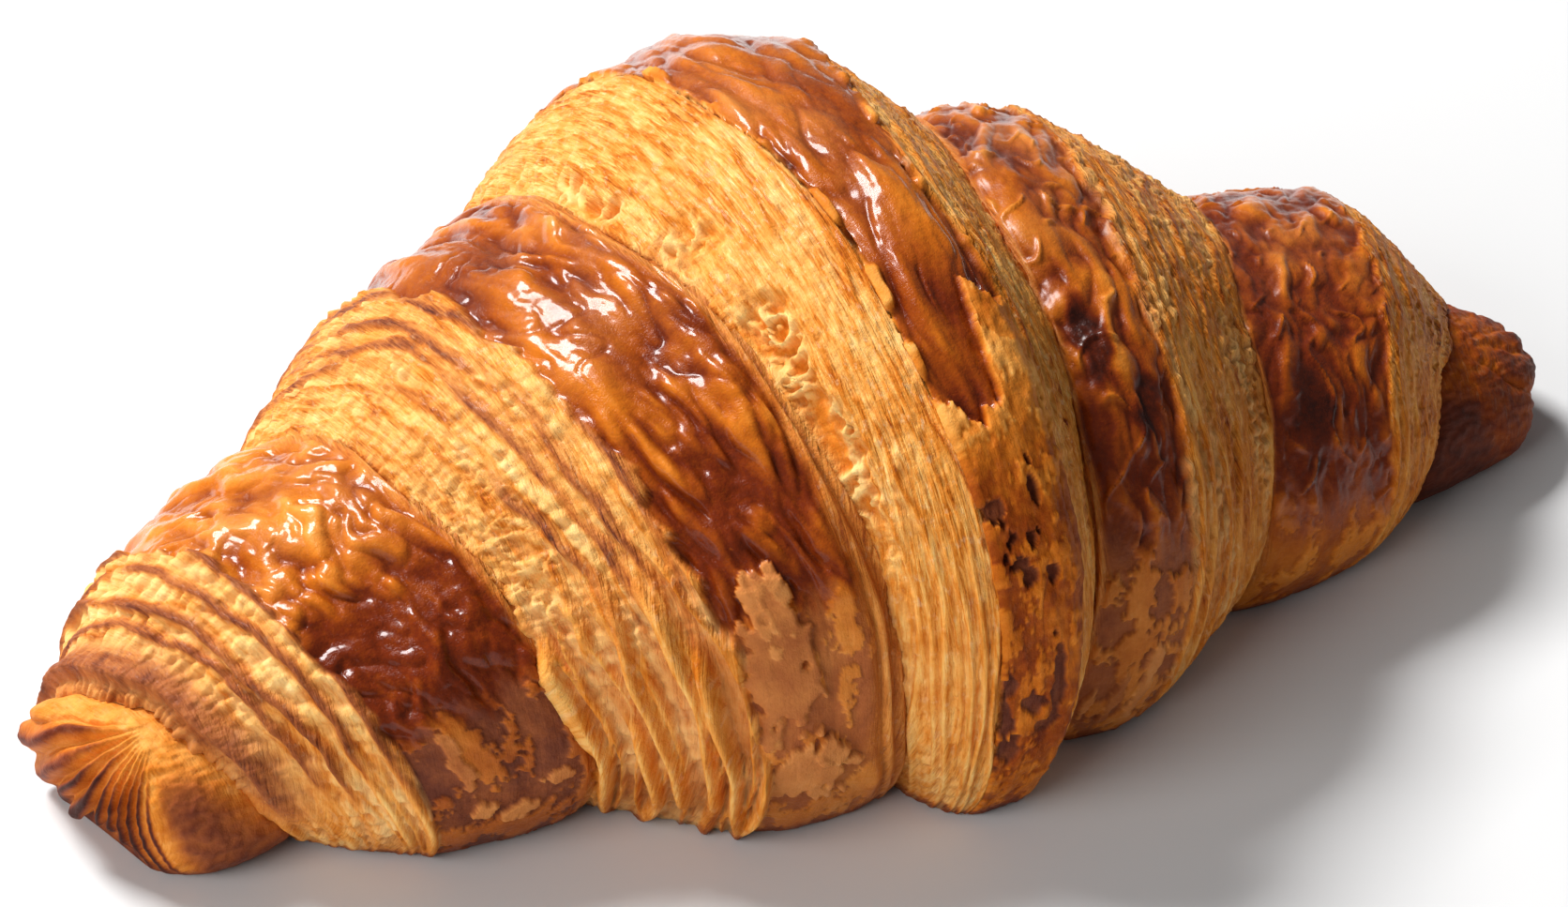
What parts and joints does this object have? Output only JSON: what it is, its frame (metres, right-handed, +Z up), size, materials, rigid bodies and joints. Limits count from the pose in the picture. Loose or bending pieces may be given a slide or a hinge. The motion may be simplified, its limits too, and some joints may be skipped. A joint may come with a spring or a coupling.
{
  "type": "croissant",
  "caption": "Baked croissant, a rolled crescent of laminated pastry with stepped turns, glossy egg-washed crowns and flaky layered edges, resting on a flat base.",
  "frame": {"origin": "centre of the footprint, on the surface that the croissant rests on", "axes": "+X along the roll from the near, left tip to the far, right tip of the picture; +Y away from the side that the picture shows; +Z up"},
  "size_m": [0.1622, 0.0944, 0.0552],
  "materials": {
    "baked_crust": "egg-washed baked pastry: glossy chestnut crowns, dry golden layered edges"
  },
  "bodies": {
    "root": {"croissant": "baked_crust"}
  },
  "joints": []
}
